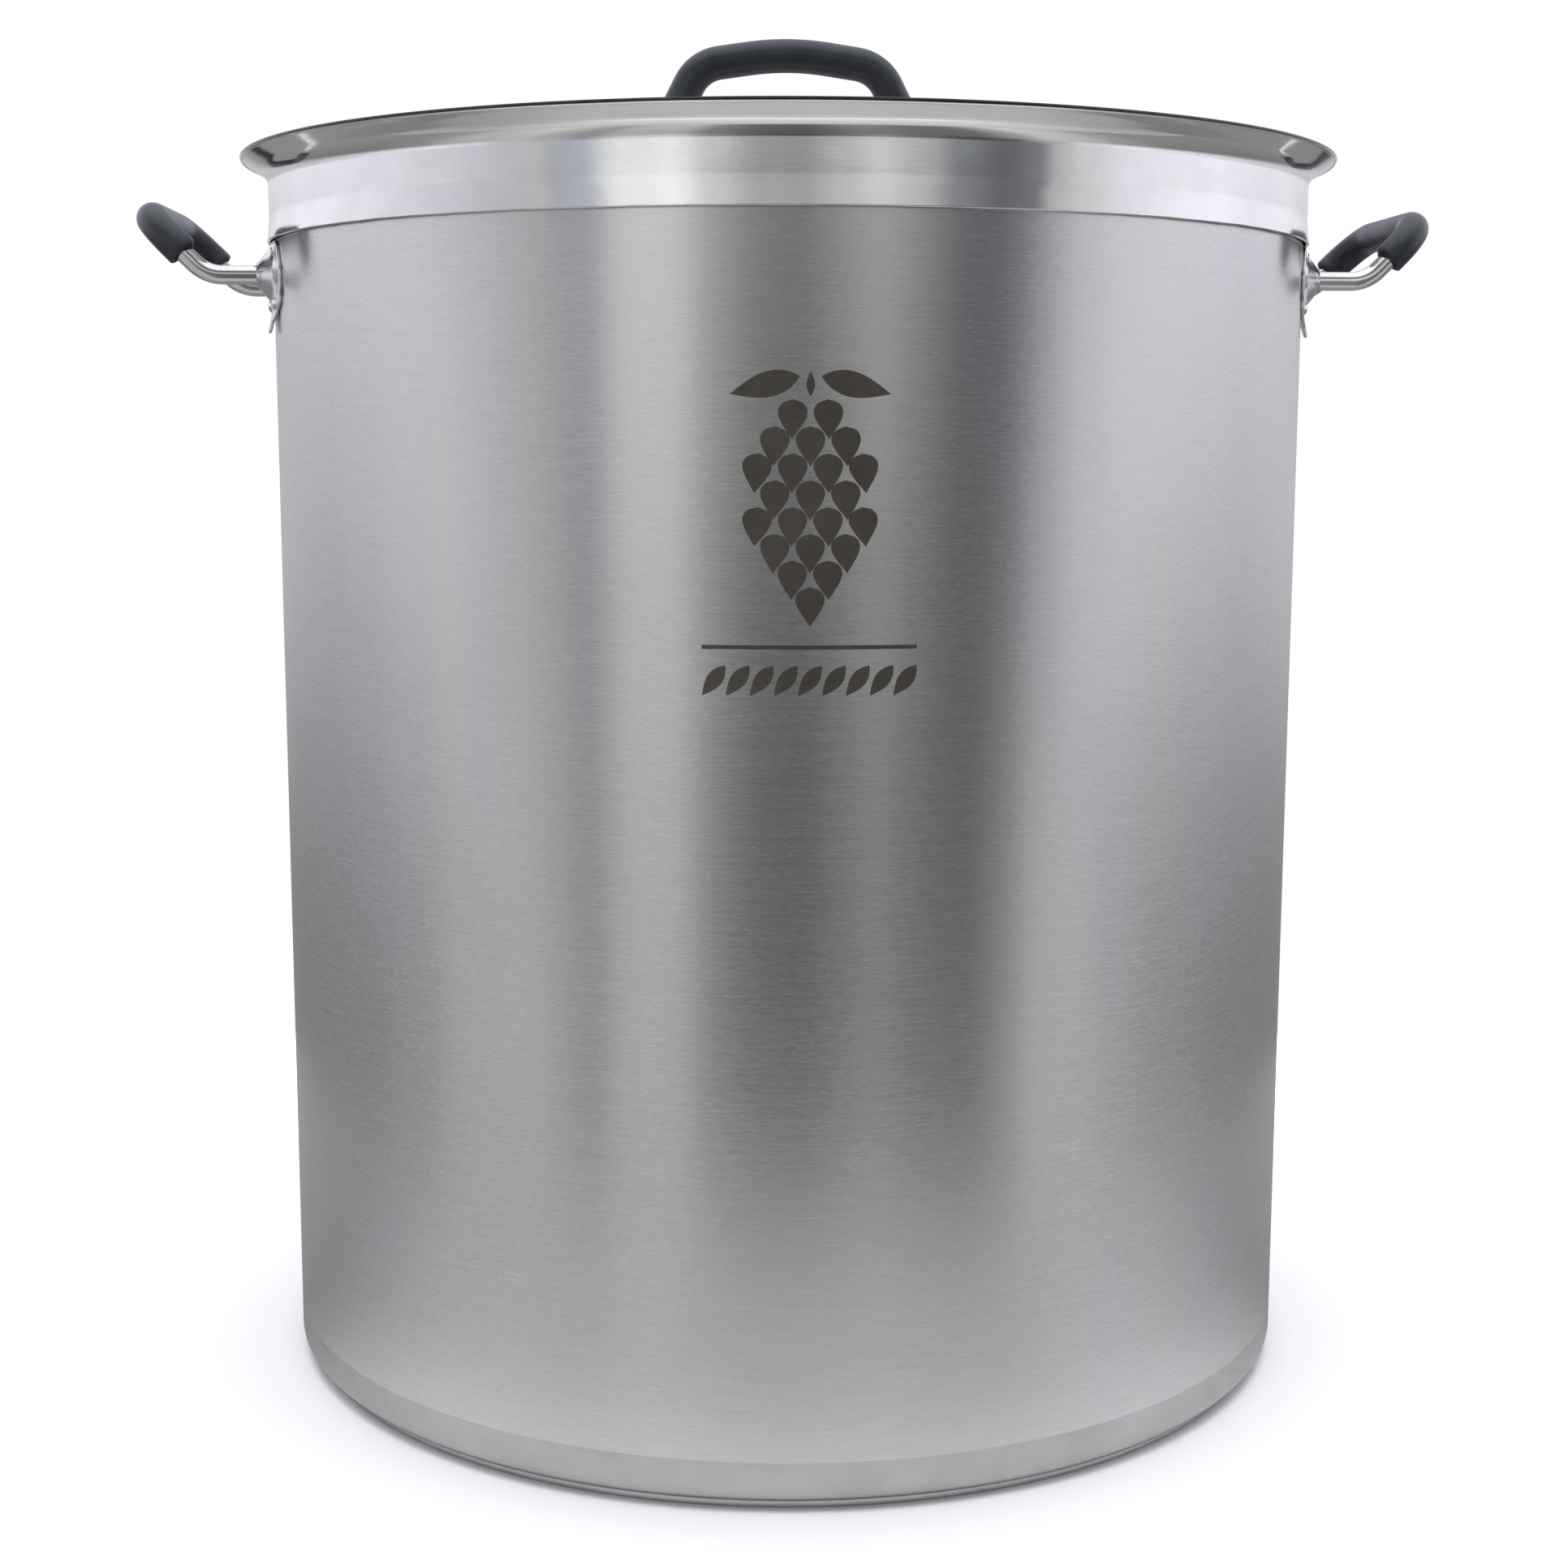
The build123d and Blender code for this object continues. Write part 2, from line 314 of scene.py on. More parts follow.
def tube_rings(route, stations, sides=56, shape=None):
    """Rings along a route; a station is (length along it, radius), and radius 0 makes a pole.

    The shape adds to the radius of the rings that stand well clear of a rod.
    """
    swing = np.arange(sides) * 2 * math.pi / sides
    rings = []
    for place, radius in stations:
        middle, side, other = route.at(place)
        if radius == 0:
            rings.append(middle.reshape(1, 3))
            continue
        reach = radius + (shape(swing) if shape and radius > rod_radius + 1 else 0.0)
        across = np.cos(swing) * reach
        along = np.sin(swing) * reach
        rings.append(middle + across[:, None] * side + along[:, None] * other)
    return rings


# ---------- materials

class Nodes:
    """A short way to write a node tree."""

    def __init__(self, tree):
        self.tree = tree
        self.tree.nodes.clear()

    def add(self, kind, **settings):
        node = self.tree.nodes.new(kind)
        for key, value in settings.items():
            setattr(node, key, value)
        return node

    def link(self, source, target):
        self.tree.links.new(source, target)

    def math(self, operation, *inputs, clamp=False):
        node = self.add("ShaderNodeMath", operation=operation, use_clamp=clamp)
        for index, value in enumerate(inputs):
            self.feed(value, node.inputs[index])
        return node.outputs[0]

    def feed(self, value, socket):
        if isinstance(value, (int, float, tuple)):
            socket.default_value = value
        else:
            self.link(value, socket)

    def spread(self, value, low, high, to_low=0.0, to_high=1.0, smooth=False):
        node = self.add("ShaderNodeMapRange")
        if smooth:
            node.interpolation_type = "SMOOTHSTEP"
        self.link(value, node.inputs["Value"])
        for index, limit in enumerate((low, high, to_low, to_high), 1):
            node.inputs[index].default_value = limit
        return node.outputs[0]

    def mix(self, factor, first, second):
        node = self.add("ShaderNodeMix", data_type="RGBA")
        self.feed(factor, node.inputs["Factor"])
        self.feed(first, node.inputs[6])
        self.feed(second, node.inputs[7])
        return node.outputs[2]

    def here(self):
        """The place on the object, in its own coordinates."""
        return self.add("ShaderNodeTexCoord").outputs["Object"]

    def split(self, vector):
        """The x, y and z of a vector."""
        node = self.add("ShaderNodeSeparateXYZ")
        self.link(vector, node.inputs[0])
        return node.outputs

    def noise(self, scale, stretch=(1, 1, 1), detail=2.0, rough=0.5, shift=(0, 0, 0), over=None):
        """Noise over the object, or over other coordinates; scale counts features to the metre."""
        mapping = self.add("ShaderNodeMapping")
        mapping.inputs["Scale"].default_value = stretch
        mapping.inputs["Location"].default_value = shift
        self.link(over if over else self.here(), mapping.inputs["Vector"])
        texture = self.add("ShaderNodeTexNoise")
        texture.inputs["Scale"].default_value = scale
        texture.inputs["Detail"].default_value = detail
        texture.inputs["Roughness"].default_value = rough
        self.link(mapping.outputs[0], texture.inputs["Vector"])
        return texture.outputs["Fac"]

    def bump(self, height, distance, strength=1.0, under=None):
        node = self.add("ShaderNodeBump")
        node.inputs["Strength"].default_value = strength
        node.inputs["Distance"].default_value = distance
        self.link(height, node.inputs["Height"])
        if under:
            self.link(under, node.inputs["Normal"])
        return node.outputs[0]

    def surface(self, **fixed):
        shader = self.add("ShaderNodeBsdfPrincipled")
        output = self.add("ShaderNodeOutputMaterial")
        self.link(shader.outputs[0], output.inputs["Surface"])
        for key, value in fixed.items():
            shader.inputs[key.replace("_", " ")].default_value = value
        return shader

    def turned_metal(self, anisotropic):
        """A metal whose highlights run round the kettle's axis."""
        shader = self.surface(Metallic=1.0, Anisotropic=anisotropic, Anisotropic_Rotation=0.25)
        tangent = self.add("ShaderNodeTangent", direction_type="RADIAL", axis="Z")
        self.link(tangent.outputs[0], shader.inputs["Tangent"])
        return shader

    def dress(self, shader, colour, roughness, normal):
        self.link(colour, shader.inputs["Base Color"])
        self.link(roughness, shader.inputs["Roughness"])
        self.link(normal, shader.inputs["Normal"])


def material(name):
    made = bpy.data.materials.new(name)
    made.use_nodes = True
    return made, Nodes(made.node_tree)


def grey(value, tint=(1.0, 1.0, 1.0)):
    return (value * tint[0], value * tint[1], value * tint[2], 1.0)


steel_tint = (1.0, 0.996, 1.002)


def brushed_steel(name, bright=0.60, rough=0.24, anisotropic=0.8, grain_depth=1.0, length=16):
    """Steel with short, fine scratches that run round the kettle; length is theirs over their width."""
    made, nodes = material(name)
    shader = nodes.turned_metal(anisotropic)
    fine = nodes.noise(290, (1, 1, length), rough=0.6)
    long = nodes.noise(52, (1, 1, length * 2.2), detail=3.0, rough=0.6, shift=(0.3, 0.1, 0.7))
    cloud = nodes.noise(9, (1, 1, 1.6), detail=3.0, rough=0.55, shift=(1.3, 0.4, 0.2))
    grain = nodes.math("MULTIPLY_ADD", long, 0.35, nodes.math("MULTIPLY", fine, 0.65))
    dark = grey(bright - 0.10 * grain_depth, steel_tint)
    light = grey(bright + 0.08 * grain_depth, steel_tint)
    colour = nodes.mix(nodes.spread(grain, 0.34, 0.66), dark, light)
    dull = grey(bright - 0.07, (1.0, 0.99, 0.97))
    cloudy = nodes.mix(nodes.spread(cloud, 0.3, 0.7, 0.0, 0.16), colour, dull)
    roughness = nodes.spread(grain, 0.3, 0.7, rough - 0.05 * grain_depth, rough + 0.06 * grain_depth)
    nodes.dress(shader, cloudy, roughness, nodes.bump(grain, 0.00002 * grain_depth, 0.5))
    return made


def polished_steel(name, bright=0.70, rough=0.09, anisotropic=0.25, wave=1.0, painted_bright_from=None):
    """Polished sheet: nearly a mirror, with faint polishing lines, handling marks and slight waves.

    Above the height painted_bright_from its colour is painted almost white: a painted highlight that
    stands in for the bright reflection on the flare.
    """
    made, nodes = material(name)
    shader = nodes.turned_metal(anisotropic)
    lines = nodes.noise(60, (1, 1, 30), rough=0.6)
    smudge = nodes.noise(38, (1, 1, 1.4), detail=4.0, rough=0.6, shift=(0.2, 0.9, 0.4))
    swell = nodes.noise(7, (1, 1, 0.35), detail=1.0, shift=(0.7, 0.2, 0.1))
    tone = nodes.spread(smudge, 0.35, 0.75)
    clean = grey(bright + 0.02, (1.0, 0.995, 1.005))
    colour = nodes.mix(tone, clean, grey(bright - 0.05, (1.0, 0.99, 0.985)))
    if painted_bright_from:
        # Painted highlight: above this height the colour is painted almost white
        height = nodes.split(nodes.here())[2]
        painted_highlight = nodes.spread(height, painted_bright_from * MM, (painted_bright_from + 5) * MM, smooth=True)
        colour = nodes.mix(painted_highlight, colour, grey(0.97))
    base = nodes.spread(lines, 0.3, 0.7, rough - 0.02, rough + 0.03)
    roughness = nodes.math("MULTIPLY_ADD", tone, 0.05, base)
    waves = nodes.bump(swell, 0.0006 * wave, 0.5)
    nodes.dress(shader, colour, roughness, nodes.bump(lines, 0.000008, 0.6, waves))
    return made


def spun_steel(name, bright=0.62, rough=0.24):
    """Spun sheet: fine rings round the axis, as a lathe leaves them."""
    made, nodes = material(name)
    shader = nodes.turned_metal(0.7)
    x, y, z = nodes.split(nodes.here())
    squares = nodes.math("ADD", nodes.math("MULTIPLY", x, x), nodes.math("MULTIPLY", y, y))
    section = nodes.add("ShaderNodeCombineXYZ")
    nodes.link(nodes.math("SQRT", squares), section.inputs[0])
    nodes.link(z, section.inputs[2])
    rings = nodes.noise(900, detail=3.0, over=section.outputs[0])
    broken = nodes.noise(70, detail=3.0)
    grain = nodes.math("MULTIPLY_ADD", broken, 0.3, nodes.math("MULTIPLY", rings, 0.7))
    dark = grey(bright - 0.07, steel_tint)
    light = grey(bright + 0.06, steel_tint)
    colour = nodes.mix(nodes.spread(grain, 0.35, 0.65), dark, light)
    roughness = nodes.spread(grain, 0.3, 0.7, rough - 0.05, rough + 0.07)
    nodes.dress(shader, colour, roughness, nodes.bump(grain, 0.00003, 0.6))
    return made


def drawn_rod(name):
    """Polished round bar with a faint haze and tiny dings."""
    made, nodes = material(name)
    shader = nodes.surface(Metallic=1.0)
    dings = nodes.noise(260, detail=4.0, rough=0.65)
    haze = nodes.noise(60, shift=(0.4, 0.6, 0.1))
    colour = nodes.mix(nodes.spread(haze, 0.35, 0.7), grey(0.74), grey(0.66, (1.0, 0.99, 0.97)))
    roughness = nodes.spread(dings, 0.35, 0.75, 0.05, 0.16)
    nodes.dress(shader, colour, roughness, nodes.bump(dings, 0.00002, 0.5))
    return made


def pressed_sheet(name, rough=0.2):
    """Bright pressed sheet, drawn a little uneven by the press."""
    made, nodes = material(name)
    shader = nodes.surface(Metallic=1.0)
    uneven = nodes.noise(180)
    specks = nodes.noise(1400, detail=3.0, rough=0.7)
    light = grey(0.78, (0.99, 0.99, 1.02))
    colour = nodes.mix(nodes.spread(uneven, 0.35, 0.7), light, grey(0.68, (0.99, 0.99, 1.01)))
    roughness = nodes.spread(specks, 0.3, 0.7, rough - 0.05, rough + 0.08)
    waves = nodes.bump(uneven, 0.00035, 0.5)
    nodes.dress(shader, colour, roughness, nodes.bump(specks, 0.00001, 0.6, waves))
    return made


def moulded_rubber(name):
    """Charcoal silicone, half matte, with a slight bloom and dust."""
    made, nodes = material(name)
    shader = nodes.surface(Sheen_Weight=0.28, Sheen_Roughness=0.3, Sheen_Tint=(0.62, 0.66, 0.95, 1.0))
    skin_grain = nodes.noise(2600, detail=3.0, rough=0.7)
    bloom = nodes.noise(75, detail=4.0, rough=0.6)
    dust = nodes.noise(900, shift=(0.1, 0.5, 0.9))
    black = (0.012, 0.015, 0.021, 1.0)
    tone = nodes.mix(nodes.spread(bloom, 0.35, 0.7), black, (0.021, 0.025, 0.034, 1.0))
    dusty = nodes.mix(nodes.spread(dust, 0.66, 0.8, 0.0, 0.35), tone, (0.12, 0.125, 0.14, 1.0))
    roughness = nodes.spread(bloom, 0.3, 0.7, 0.33, 0.46)
    nodes.dress(shader, dusty, roughness, nodes.bump(skin_grain, 0.00004, 0.5))
    return made


def etched_mark(name):
    """The dark, slightly brown film that electro-etching leaves on steel."""
    made, nodes = material(name)
    shader = nodes.surface(Metallic=0.7)
    fine = nodes.noise(150, (1, 1, 14), detail=3.0, rough=0.7)
    cloud = nodes.noise(30, detail=3.0, shift=(0.5, 0.2, 0.8))
    dark = (0.085, 0.076, 0.066, 1.0)
    brown = nodes.mix(nodes.spread(cloud, 0.35, 0.65), dark, (0.115, 0.096, 0.080, 1.0))
    worn = nodes.mix(nodes.spread(fine, 0.42, 0.75, 0.0, 0.35), brown, (0.16, 0.145, 0.13, 1.0))
    roughness = nodes.spread(fine, 0.3, 0.7, 0.42, 0.55)
    nodes.dress(shader, worn, roughness, nodes.bump(fine, 0.00003, 0.6))
    return made


wall_steel = brushed_steel("wall_steel", grain_depth=0.62, length=13)
band_steel = polished_steel("band_steel", bright=0.47, rough=0.17, anisotropic=0.4, wave=0.4)
# Above 515 mm the flare's colour is painted almost white, a painted highlight standing in for its bright
# reflection
collar_steel = polished_steel("collar_steel", rough=0.08, painted_bright_from=515.0)
# The rolled bead is painted near black: painted shade standing in for the dark line of shadow along the
# lip
bead_shade_steel = brushed_steel("bead_shade_steel", bright=0.05, rough=0.34, anisotropic=0.2, grain_depth=0.3)
cap_steel = spun_steel("cap_steel", bright=0.56, rough=0.26)
pan_steel = spun_steel("pan_steel")
core_metal = spun_steel("core_metal", bright=0.66, rough=0.4)
rod_steel = drawn_rod("rod_steel")
lug_steel = pressed_sheet("lug_steel")
rivet_steel = pressed_sheet("rivet_steel", rough=0.16)
grip_rubber = moulded_rubber("grip_rubber")
mark_film = etched_mark("mark_film")


def place(piece, body, node, slot, *looks):
    """Puts materials on a piece and ties it to the frame."""
    for look in looks:
        piece.data.materials.append(look)
    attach(piece, body)
    if node:
        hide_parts(node)


# ---------- kettle

def kettle_body():
    """The drawn shell, with rows of faces that end where the polished band ends."""
    corners = [(0, base_height), (body_radius, base_height), (body_radius, body_top)]
    path = rounded_path(corners, [body_corner_radius], 4.0)
    marks = [np.array([body_radius, band_top + step]) for step in (-0.2, 0.2)]
    low = [p for p in path if p[1] < band_top - 2]
    path = np.array(low + marks + [p for p in path if p[1] > band_top + 2])
    piece = skin("kettle_shell", lathe_rings(sheet_outline(path, body_wall), 480), False)
    place(piece, "kettle", "kettle_body", "brushed_body", wall_steel, band_steel)
    middles = read_faces(piece, "center")
    normals = read_faces(piece, "normal")
    outward = np.sum(middles[:, :2] * normals[:, :2], axis=1) > 0
    below = normals[:, 2] < -0.999
    give_second_look(piece, (middles[:, 2] < band_top * MM) & (outward | below))


def rim_collar():
    """The band round the top: a kicked-out skirt, a flare and a lip rolled round a bead."""
    sweep = math.radians(flare_angle)
    bend = flare_radius + collar_wall / 2
    bead_height = lip_height - lip_bead_radius
    middle = body_radius + collar_stand_off + collar_wall / 2
    start = bead_height - lip_run_out * math.cos(sweep) - bend * math.sin(sweep)
    bead_x = middle + bend * (1 - math.cos(sweep)) + lip_run_out * math.sin(sweep)
    corners = [
        (middle + collar_skirt_kick, collar_bottom),
        (middle, collar_bottom + collar_skirt_height),
        (middle, start + bend * math.tan(sweep / 2)),
        (bead_x, bead_height),
    ]
    path = rounded_path(corners, [skirt_bend_radius, bend], 3.0, 6.0)
    half = collar_wall / 2
    normals = left_normals(path)
    ahead = unit(path[-1] - path[-2])
    across = np.array([-ahead[1], ahead[0]])
    reach = math.sqrt(lip_bead_radius**2 - half**2)
    inside = [k for k, p in enumerate(path) if np.linalg.norm(p - path[-1]) > reach + 0.1]
    joint = math.atan2(half, reach)
    bead = []
    for swing in np.linspace(math.pi + joint, 3 * math.pi - joint, 26):
        spoke = ahead * math.cos(swing) + across * math.sin(swing)
        bead.append(path[-1] + spoke * lip_bead_radius)
    outer = [path[k] - normals[k] * half for k in inside]
    inner_line = [path[k] + normals[k] * half for k in inside]
    hem = edge_round(path[0] - path[1], path[0], -normals[0], half, 0.8)
    outline = outer[1:] + bead + inner_line[:0:-1] + hem

    def ragged(swing, height):
        """The trimmed lower edge wanders by about a tenth of a millimetre."""
        share = max(0.0, 1 - (height - collar_bottom) / 4)
        return share * (0.05 * np.sin(swing * 23 + 1.0) + 0.04 * np.sin(swing * 61 + 2.0) + 0.05)

    piece = skin("collar_band", lathe_rings(outline, 480, ragged), True)
    place(piece, "kettle", "rim_collar", "polished_rim", collar_steel, bead_shade_steel)
    x, y, z = read_faces(piece, "center").T / MM
    from_bead = np.hypot(np.hypot(x, y) - bead_x, z - bead_height)
    # Painted shade: the bead's upper and outer faces take the near-black material
    give_second_look(piece, (from_bead < lip_bead_radius + 0.1) & (z > bead_height - 0.45))


def base_cap():
    corners = [(0, 0), (base_radius, 0), (base_radius, base_height - 0.05)]
    path = rounded_path(corners, [base_edge_radius], 9.0)
    piece = skin("base_pan", lathe_rings(sheet_outline(path, base_cap_wall), 360), False)
    place(piece, "kettle", "base_cap", "base_steel", cap_steel)


def base_core():
    """The closed-in core keeps the part's own mesh."""
    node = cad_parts["base_core"]
    node.data.materials.clear()
    node.data.materials.append(core_metal)


# ---------- lugs and rivets

class LugFrame:
    """A lug's seat: x across it, y towards its head, z out of the sheet it sits on."""

    def __init__(self, origin, x, z, wall_radius=None):
        self.origin = np.array(origin, float)
        self.x = np.array(x, float)
        self.z = np.array(z, float)
        self.y = np.cross(self.z, self.x)
        self.wall_radius = wall_radius

    def out(self, points):
        """Points in the kettle's frame; on a round wall the lug's cheeks bow back to follow it."""
        points = np.array(points, float).reshape(-1, 3)
        if self.wall_radius:
            aside = np.clip((np.abs(points[:, 0]) - 6) / 5, 0, 1)
            ease = aside * aside * (3 - 2 * aside)
            points[:, 2] -= ease * points[:, 0] ** 2 / (2 * self.wall_radius)
        return self.origin + points[:, :1] * self.x + points[:, 1:2] * self.y + points[:, 2:] * self.z

    def inward(self, direction):
        return np.array([direction @ self.x, direction @ self.y, direction @ self.z])


def side_lug_frame(side, end):
    azimuth = math.asin(side_leg_offset / body_radius)
    normal = np.array([side * math.cos(azimuth), end * math.sin(azimuth), 0.0])
    seat_radius = body_radius + lug_seat_gap
    origin = normal * seat_radius + np.array([0, 0, side_leg_height])
    return LugFrame(origin, np.cross([0.0, 0.0, 1.0], normal), normal, seat_radius)


def lid_crown_radius():
    fall = lid_crown_height - lid_crown_edge_height
    slope = math.atan2(fall, lid_crown_edge_radius / 2)
    return lid_crown_edge_radius / 2 / math.tan(slope / 2)


def lid_lug_frame(side):
    crown_radius = lid_crown_radius()
    lean = math.asin(lid_foot_offset / crown_radius)
    normal = np.array([side * math.sin(lean), 0.0, math.cos(lean)])
    fall = crown_radius * (1 - math.cos(lean))
    height = lid_crown_height - fall + (lid_wall + lug_seat_gap) / math.cos(lean)
    return LugFrame((side * lid_foot_offset, 0, height), (0, side, 0), normal)


def lid_leg_x(height):
    climb = height - lid_lug_frame(1).origin[2]
    return lid_foot_offset - climb / math.tan(math.radians(lid_leg_angle))


def shield_outline():
    """The lug's outline in its own plane."""
    half = [
        (lug_shoulder_half_width, lug_head, lug_corner_radius),
        (lug_half_width, lug_cheek_top, lug_corner_radius),
        (lug_half_width, lug_cheek_bottom, lug_corner_radius),
        (tongue_root_half_width, tongue_root, tongue_root_corner_radius),
        (tongue_tip_half_width, tongue_tip, tongue_tip_corner_radius),
    ]
    corners = half + [(-x, y, r) for x, y, r in reversed(half)]
    return rounded_path([c[:2] for c in corners], [c[2] for c in corners], 6.0, 2.0, closed=True)


def reach_to(outline, direction):
    """How far an outline is from the origin in a direction."""
    best = 0.0
    for first, second in zip(outline, np.roll(outline, -1, axis=0)):
        edge = second - first
        cross = direction[0] * edge[1] - direction[1] * edge[0]
        if abs(cross) < 1e-9:
            continue
        along = (first[0] * edge[1] - first[1] * edge[0]) / cross
        share = (first[0] * direction[1] - first[1] * direction[0]) / cross
        if along > 0 and -1e-6 <= share <= 1 + 1e-6:
            best = max(best, along)
    return best


def bend_tongue(point):
    """Turns what is below the bend outwards, on a soft crease."""
    past = tongue_bend - point[1]
    soft = 1.6
    if past <= -soft:
        return point
    eased = past if past > soft else (past + soft) ** 2 / (4 * soft)
    angle = math.radians(tongue_angle)
    return point + eased * np.array([0, 1 - math.cos(angle), math.sin(angle)])


def lug_column(way, axis, reach, outline):
    """A line of points out over a lug, round its edge and back behind it, one way from the rod's axis."""
    slope = (boss_base_radius - boss_tip_radius) / reach

    def cone(height, inset=0.0):
        """A point on the boss's cone."""
        return axis * height + way * (boss_base_radius - slope * height - inset)

    def foot(level, inset=0.0):
        """The height along the axis where the cone meets a level of the sheet."""
        base = boss_base_radius - inset
        return (level - base * way[2]) / (axis[2] - slope * way[2])

    up = np.array([0, 0, 1.0])
    aside = np.append(unit(way[:2]), 0.0)
    edge = aside * reach_to(outline, aside)
    corner = cone(foot(lug_wall))
    out = edge + up * lug_wall - corner
    before = corner + unit(cone(reach - 0.5) - corner) * boss_fillet_reach
    after = corner + unit(out) * min(boss_fillet_reach, np.linalg.norm(out) * 0.45)
    tip_round = [
        (0, rod_radius + 0.05),
        (0, rod_radius + 0.45),
        (-0.05, boss_tip_radius - 0.75),
        (0.08, boss_tip_radius - 0.15),
        (0.45, boss_tip_radius + 0.12),
        (0.9, boss_tip_radius + 0.55),
    ]
    column = [axis * (reach - drop) + way * radius for drop, radius in tip_round]
    brow = column[-1]
    column += [brow + (before - brow) * k / 4 for k in range(1, 4)]
    for share in np.linspace(0, 1, 8):
        column.append(before * (1 - share) ** 2 + corner * 2 * share * (1 - share) + after * share**2)
    crest = edge + up * lug_wall - aside * lug_edge_round
    column += [after + (crest - after) * k / 3 for k in range(1, 4)]
    for turn in np.radians([18, 36, 54, 72, 90]):
        column.append(crest + lug_edge_round * (aside * math.sin(turn) + up * (math.cos(turn) - 1)))
    column += [edge + up * 0.25, edge - aside * 0.12 + up * 0.06, edge - aside * lug_edge_round]
    column.append(cone(foot(0.0, boss_wall) - 0.02, boss_wall))
    column.append(axis * (reach - boss_wall) + way * (boss_tip_radius - 0.9))
    column.append(axis * (reach - boss_wall) + way * (rod_radius + 0.05))
    return [bend_tongue(point) for point in column]


def lug(name, seat, rod_axis, boss_tip):
    """A pressed lug: boss, fillet, flat shield and rounded edges, closed behind."""
    outline = shield_outline()
    rod_axis = np.array(rod_axis, float)
    axis = seat.inward(rod_axis)
    reach = float((np.array(boss_tip) - seat.origin) @ rod_axis)
    first = unit(np.array([1.0, 0, 0]) - axis * axis[0])
    second = np.cross(axis, first)
    columns = []
    for swing in np.arange(lug_columns) * 2 * math.pi / lug_columns:
        way = first * math.cos(swing) + second * math.sin(swing)
        columns.append(lug_column(way, axis, reach, outline))
    rings = [seat.out([column[k] for column in columns]) for k in range(len(columns[0]))]
    return skin(name, rings, True)


def rivet_outline(grip):
    """Half of a rivet's section: domed head, shank and flat tail."""
    crown = (rivet_head_radius**2 + rivet_head_height**2) / (2 * rivet_head_height)
    top = lug_wall + rivet_head_height
    bottom = -grip - rivet_tail_height
    outline = [(0, top)]
    reach = math.asin(rivet_head_radius / crown) * 0.95
    for k in range(1, 11):
        swing = reach * k / 10
        outline.append((crown * math.sin(swing), top - crown * (1 - math.cos(swing))))
    outline += [
        (rivet_head_radius, lug_wall + 0.12),
        (rivet_head_radius - 0.05, lug_wall),
        (rivet_shank_radius, lug_wall),
        (rivet_shank_radius, -grip),
        (rivet_tail_radius - 0.1, -grip),
        (rivet_tail_radius, -grip - 0.1),
        (rivet_tail_radius, bottom + 0.25),
        (rivet_tail_radius - 0.25, bottom),
        (0, bottom),
    ]
    return outline


def rivets(name, seat, grip):
    """A lug's four rivets in one mesh."""
    pattern = skin("rivet_pattern", lathe_rings(rivet_outline(grip), 40), False)
    mesh = pattern.data
    shape = np.array([v.co / MM for v in mesh.vertices])
    points, faces = [], []
    for x in (-rivet_side_offset, rivet_side_offset):
        for y in (rivet_rise, -rivet_drop):
            faces += [[len(points) + i for i in face.vertices] for face in mesh.polygons]
            points += seat.out(shape + np.array([x, y, 0])).tolist()
    bpy.data.objects.remove(pattern)
    bpy.data.meshes.remove(mesh)
    return mesh_object(name, points, faces)


# ---------- handles

def side_route(side, leg, bends, across):
    """A side handle's middle line: its front leg, given as (x, z) points, and the same at the rear."""
    front = [(side * x, -side_leg_offset, z) for x, z in leg]
    rear = [(side * x, side_leg_offset, z) for x, z in leg[::-1]]
    return Route(rounded_path(front + rear, bends + bends[::-1], 2.0, 2.0), across)


def lid_route(start_height):
    """The lid handle's middle line from a height on one leg to the same height on the other."""
    half = [(lid_leg_x(height), height) for height in (start_height, lid_shoulder_height)]
    left = [(-x, 0, z) for x, z in half]
    right = [(x, 0, z) for x, z in half[::-1]]
    radii = [lid_shoulder_radius, lid_bar_crown_radius, lid_shoulder_radius]
    return Route(rounded_path(left + [(0, 0, lid_bar_crown_height)] + right, radii, 2.0, 2.0), (0, 1, 0))


def rod(name, route):
    """A round bar with its ends chamfered."""
    length = route.length
    chamfer = 0.4
    steps = int(length / 1.5)
    stations = [(0, 0), (0, rod_radius - chamfer), (chamfer, rod_radius)]
    stations += [(chamfer + (length - 2 * chamfer) * k / steps, rod_radius) for k in range(1, steps)]
    stations += [(length - chamfer, rod_radius), (length, rod_radius - chamfer), (length, 0)]
    return skin(name, tube_rings(route, stations, 64), False)


def grip(name, route, radius):
    """A moulded sleeve: soft mouths that stand a little off the rod, and fine parting lines."""
    length = route.length
    lip = 1.1
    mouth_depth = 2.6
    bore = rod_radius + 0.05
    seam_width = 0.16
    seam_height = 0.09

    def end(place, way):
        """From the outside, round the lip and into the mouth."""
        rows = []
        for k in range(6):
            turn = math.radians(90 * k / 5)
            rows.append((place + way * lip * (1 - math.sin(turn)), radius - lip * (1 - math.cos(turn))))
        rows.append((place, radius - lip - 0.35))
        rows += [(place + way * 0.25, bore + 1.05), (place + way * mouth_depth, bore)]
        return rows

    def parting(swing):
        """Flash lines on both sides, where the mould closed."""
        rise = 0.0
        for seam in (0.0, math.pi):
            gap = (swing - seam + math.pi) % (2 * math.pi) - math.pi
            rise = rise + np.exp(-((gap * radius / seam_width) ** 2))
        return seam_height * rise - seam_height

    steps = int(length / 1.2)
    stations = end(0, 1)[::-1]
    stations += [(lip + (length - 2 * lip) * k / steps, radius) for k in range(1, steps)]
    stations += end(length, -1)
    stations += [(mouth_depth + (length - 2 * mouth_depth) * k / 40, bore) for k in range(39, 0, -1)]
    return skin(name, tube_rings(route, stations, 144, parting), True)


def handle(body, name, whole, covered, sleeve_radius):
    """A handle's rod and the sleeve on it."""
    place(rod(f"{name}_bar", whole), body, f"{name}_handle_rod", "polished_rod", rod_steel)
    sleeve = grip(f"{name}_sleeve", covered, sleeve_radius)
    place(sleeve, body, f"{name}_handle_grip", "grip_rubber", grip_rubber)


